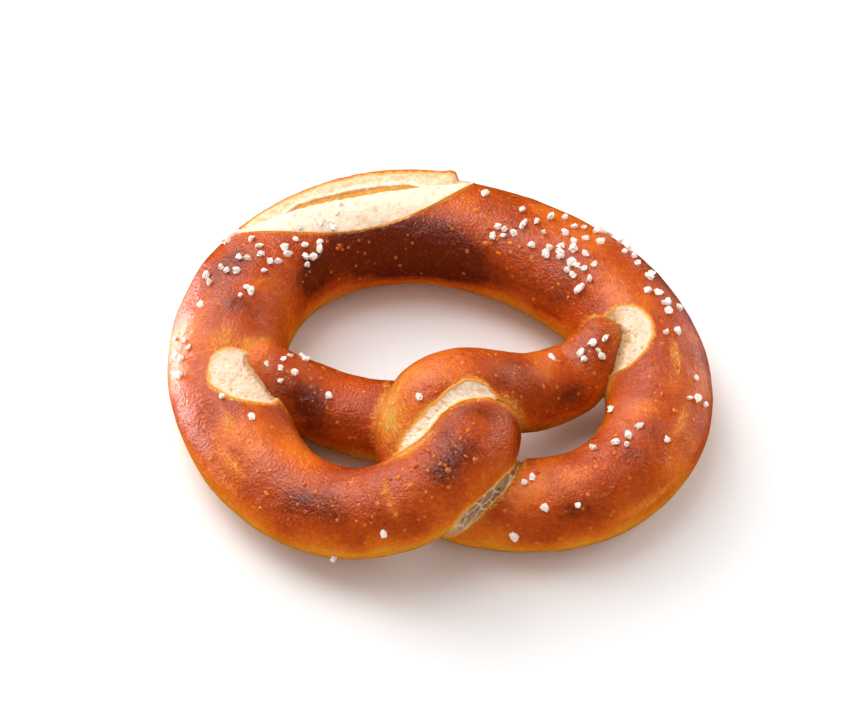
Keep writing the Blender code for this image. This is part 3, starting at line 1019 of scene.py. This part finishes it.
def add_blisters():
    """Small blisters in the skin: flattened domes, some burst, height * profile(ring)."""
    rng = np.random.default_rng(5)
    distance, angle = scattered(rng, BLISTERS)
    split = (np.abs(distance - SPLIT_MIDDLE) < SPLIT_HALF + 1.0)
    split &= (angle > BACK_LIP - 4.0) & (angle < BACK_LIP + SPLIT_SPREAD + 4.0)
    kept = (bare_inside(distance, angle) < -1.2) & ~split & (np.abs(distance - 272.0) < 270.0)
    distance, angle = distance[kept], angle[kept]
    count = len(distance)
    size = 0.28 + 0.5 * rng.power(0.5, count)
    spot, out, along, side = on_skin(distance, angle)
    turn = np.linspace(0.0, 2.0 * np.pi, 13)[:-1]
    rings = np.array([0.35, 0.62, 0.82, 0.98, 1.2])
    dome = np.array([1.0, 0.93, 0.74, 0.46, 0.12, -0.35])
    burst = np.array([0.05, 0.30, 0.85, 0.62, 0.12, -0.35])
    profile = np.where((rng.uniform(size=count) < 0.3)[:, None], burst, dome)
    height = (rng.uniform(0.4, 0.65, count) * size)[:, None] * profile
    squash = rng.uniform(0.75, 1.3, count)[:, None, None]
    wobble = 1.0 + 0.12 * rng.uniform(-1.0, 1.0, (count, 1, 12))
    reach = size[:, None, None] * rings[:, None] * wobble
    body = spot[:, None, None] + height[:, 1:, None, None] * out[:, None, None]
    body = body + (reach * np.cos(turn) * squash)[..., None] * along[:, None, None]
    body = body + (reach * np.sin(turn) / squash)[..., None] * side[:, None, None]
    top = spot + height[:, :1] * out
    bodies = np.concatenate([top[:, None], body.reshape(count, -1, 3)], axis=1)
    fields = {"gold": rng.uniform(0.0, 0.3, count), "bake_and_painted_light": rng.uniform(0.2, 0.7, count)}
    return add_copies(
        "blisters", bodies, len(rings), 12, distance, angle, fields, crust_look, False)


def add_salt():
    """Coarse crystals: a rough ball cut back by random planes, least of reach / cosine."""
    rng = np.random.default_rng(8)
    distance, angle = scattered(rng, SALT)
    count = len(distance)
    size = rng.uniform(0.9, 1.3, count)
    tilt = np.radians([50.0, 5.0, -45.0])[:, None]
    turn = np.linspace(0.0, 2.0 * np.pi, 7)[:-1] + 0.5 * np.arange(3)[:, None]
    ball = np.stack([
        np.cos(tilt) * np.cos(turn), np.cos(tilt) * np.sin(turn), np.sin(tilt) + 0.0 * turn], -1)
    ball = np.concatenate([[(0.0, 0.0, 1.0)], ball.reshape(-1, 3), [(0.0, 0.0, -1.0)]])
    planes = unit(rng.normal(size=(count, 5, 3)))
    reach = rng.uniform(0.45, 0.8, (count, 5))
    lean = np.einsum("vk,cpk->cvp", ball, planes)
    cut = np.where(lean > 0.05, reach[:, None] / np.maximum(lean, 0.05), 9.0).min(axis=-1)
    cut = np.minimum(cut, 1.2) * rng.uniform(0.85, 1.1, cut.shape)
    body = ball * cut[..., None] * size[:, None, None]
    body = body * rng.uniform(0.8, 1.3, (count, 1, 3))
    first = unit(rng.normal(size=(count, 3)))
    second = unit(np.cross(first, rng.normal(size=(count, 3))))
    axes = np.stack([first, second, np.cross(first, second)], axis=1)
    spot, out, _, _ = on_skin(distance, angle)
    bodies = spot[:, None] + body @ axes + (0.35 * size)[:, None, None] * out[:, None]
    return add_copies("salt", bodies, 3, 6, distance, angle, {}, salt_look, True)


add_crust()
add_split()
add_fibrous_seam()
add_bubbled_seam()
add_patch("left_patch", LEFT_PATCH, (-9.0, 25.0), 61)
add_patch("right_patch", RIGHT_PATCH, (515.0, 545.0), 71)
add_blisters()
add_salt()

# ---------------------------------------------------------------- stage, camera, light
def look_at(thing, spot, target):
    thing.location = spot
    direction = np.array(target) - np.array(spot)
    thing.rotation_euler = Vector(direction).to_track_quat("-Z", "Y").to_euler()


scene = bpy.context.scene
width = high.x - low.x
centre = np.array([(low.x + high.x) / 2.0, (low.y + high.y) / 2.0, low.z])
target = centre + width * np.array([-0.0168, 0.0266, 0.0805])
elevation = np.radians(52.0)
camera_data = bpy.data.cameras.new("camera")
camera_data.lens = 114.0
camera_data.sensor_width = 36.0
camera = bpy.data.objects.new("camera", camera_data)
scene.collection.objects.link(camera)
look_at(camera, target + 0.75 * np.array([0.0, -np.cos(elevation), np.sin(elevation)]), target)
scene.camera = camera

floor_mesh = bpy.data.meshes.new("floor")
side = 6.0
corners = [(-side, -side), (side, -side), (side, side), (-side, side)]
floor_mesh.from_pydata([(x, y, low.z) for x, y in corners], [], [(0, 1, 2, 3)])
floor = bpy.data.objects.new("floor", floor_mesh)
scene.collection.objects.link(floor)
floor.location = (0.0, 0.0, -0.0002)
floor_look = bpy.data.materials.new("floor")
floor_look.use_nodes = True
floor_look.node_tree.nodes["Principled BSDF"].inputs["Base Color"].default_value = (0.9, 0.9, 0.9, 1.0)
floor_look.node_tree.nodes["Principled BSDF"].inputs["Roughness"].default_value = 0.9
floor_look.node_tree.nodes["Principled BSDF"].inputs["Specular IOR Level"].default_value = 0.0
floor_mesh.materials.append(floor_look)
floor.visible_glossy = False


def add_light(name, spot, size, power, soft=True, shine=True):
    """A round lamp; soft light only fills, shine only makes the sheen."""
    data = bpy.data.lights.new(name, "AREA")
    data.shape = "DISK"
    data.size = size
    data.energy = power
    lamp = bpy.data.objects.new(name, data)
    scene.collection.objects.link(lamp)
    look_at(lamp, spot, centre)
    lamp.visible_diffuse = soft
    lamp.visible_glossy = shine
    return lamp


add_light("window", (-0.557, 0.557, 0.616), 1.0, 9.5)
add_light("window_shine", (-0.557, 0.557, 0.616), 0.8, 9.0, soft=False)
add_light("skylight", (-0.188, 0.088, 0.978), 0.6, 2.9)
add_light("skylight_shine", (-0.25, 0.088, 0.978), 0.5, 1.8, soft=False)
add_light("far_window", (0.754, 0.633, 0.174), 0.3, 2.2, soft=False)
add_light("right_fill", (0.8, 0.1, 0.6), 0.5, 1.6, shine=False)
for name, aside, power in (("left_card", -0.17, 0.55), ("right_card", 0.17, 0.08)):
    card = add_light(name, (aside, 0.03, 0.001), 0.16, power)
    card.rotation_euler = (0.0, np.pi, 0.0)
    card.visible_camera = False
world = bpy.data.worlds.new("studio")
world.use_nodes = True
world.cycles_visibility.glossy = False
world.node_tree.nodes["Background"].inputs["Color"].default_value = (1.0, 1.0, 1.0, 1.0)
world.node_tree.nodes["Background"].inputs["Strength"].default_value = 0.58
scene.world = world
scene.view_settings.view_transform = "Standard"
